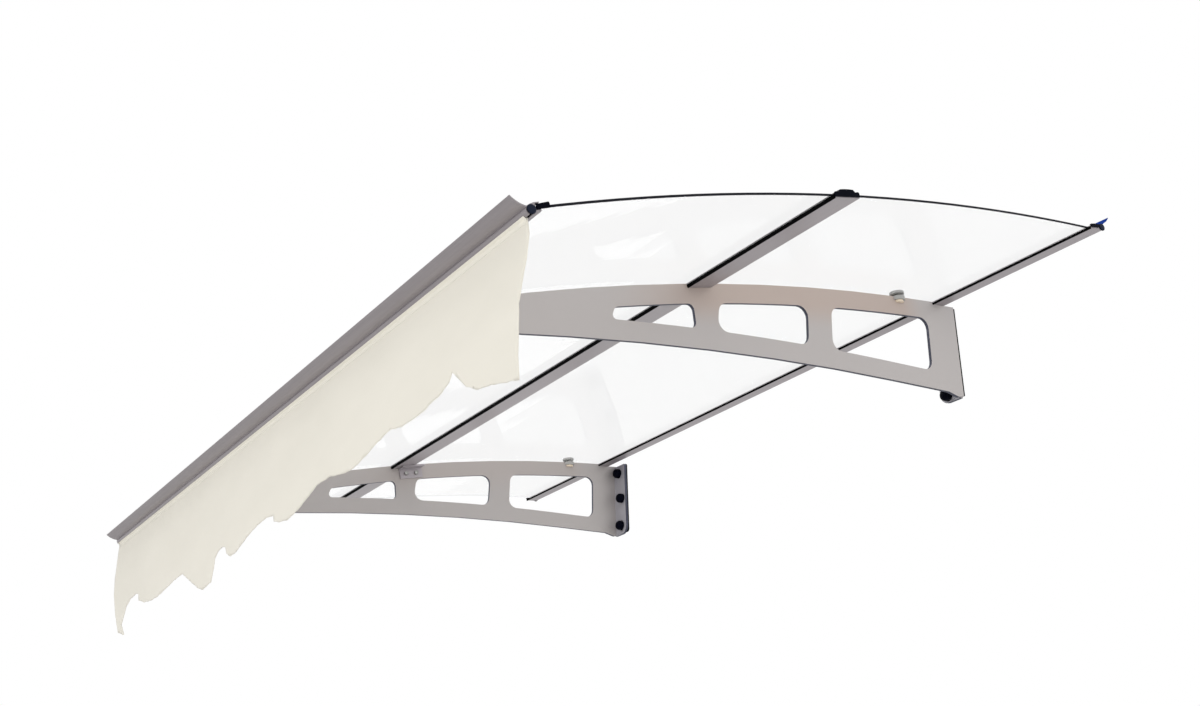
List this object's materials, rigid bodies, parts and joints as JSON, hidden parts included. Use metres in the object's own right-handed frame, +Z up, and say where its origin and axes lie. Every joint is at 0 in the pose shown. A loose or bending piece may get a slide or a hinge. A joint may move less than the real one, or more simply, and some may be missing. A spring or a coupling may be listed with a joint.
{
  "type": "door awning",
  "caption": "Door awning with a clear arched roof on cut-out brackets, cross bars with black end caps, and a cream cloth valance.",
  "frame": {"origin": "on the wall face, midway between the brackets, at the height of their top edge", "axes": "+X along the bars, -Y out from the wall, +Z up"},
  "size_m": [1.5131, 0.8989, 0.3802],
  "materials": {
    "bracket_paint": "satin warm grey",
    "aluminium": "satin",
    "clear_panel": "clear polycarbonate",
    "black_plastic": "moulded",
    "rubber": "matte",
    "blue_lip": "soft vinyl",
    "zinc": "zinc plated",
    "grey_plastic": "moulded",
    "nylon": "moulded",
    "cloth": "plain weave"
  },
  "bodies": {
    "root": {"bolt_cap_far_1": "black_plastic", "bolt_cap_far_2": "black_plastic", "bolt_cap_far_3": "black_plastic", "bolt_cap_near_1": "black_plastic", "bolt_cap_near_2": "black_plastic", "bolt_cap_near_3": "black_plastic", "bracket_far": "bracket_paint", "bracket_near": "bracket_paint", "channel_knob_far": "black_plastic", "channel_knob_near": "black_plastic", "front_bar": "aluminium", "front_cap_far": "black_plastic", "front_cap_near": "black_plastic", "front_cleat_far": "aluminium", "front_cleat_far_screw_1": "zinc", "front_cleat_near": "aluminium", "front_cleat_near_screw_1": "zinc", "front_gasket": "rubber", "front_panel": "clear_panel", "hold_collar_far": "grey_plastic", "hold_collar_near": "grey_plastic", "hold_knob_far": "grey_plastic", "hold_knob_near": "grey_plastic", "hold_pad_far": "nylon", "hold_pad_near": "nylon", "hold_screw_far": "zinc", "hold_screw_near": "zinc", "hold_washer_far": "grey_plastic", "hold_washer_near": "grey_plastic", "mid_bar": "aluminium", "mid_cap_far": "black_plastic", "mid_cap_near": "black_plastic", "mid_cleat_far": "aluminium", "mid_cleat_far_screw_1": "zinc", "mid_cleat_far_screw_2": "zinc", "mid_cleat_near": "aluminium", "mid_cleat_near_screw_1": "zinc", "mid_cleat_near_screw_2": "zinc", "mid_gasket_front": "rubber", "mid_gasket_rear": "rubber", "rear_bar": "aluminium", "rear_cap_far": "black_plastic", "rear_cap_near": "black_plastic", "rear_gasket": "rubber", "rear_panel": "clear_panel", "rear_plug_far": "black_plastic", "rear_plug_near": "black_plastic", "valance": "cloth", "valance_rod": "black_plastic", "wall_bolt_far_1": "zinc", "wall_bolt_far_2": "zinc", "wall_bolt_far_3": "zinc", "wall_bolt_near_1": "zinc", "wall_bolt_near_2": "zinc", "wall_bolt_near_3": "zinc", "wall_gasket_far": "rubber", "wall_gasket_near": "rubber", "wall_lip": "blue_lip"}
  },
  "joints": []
}
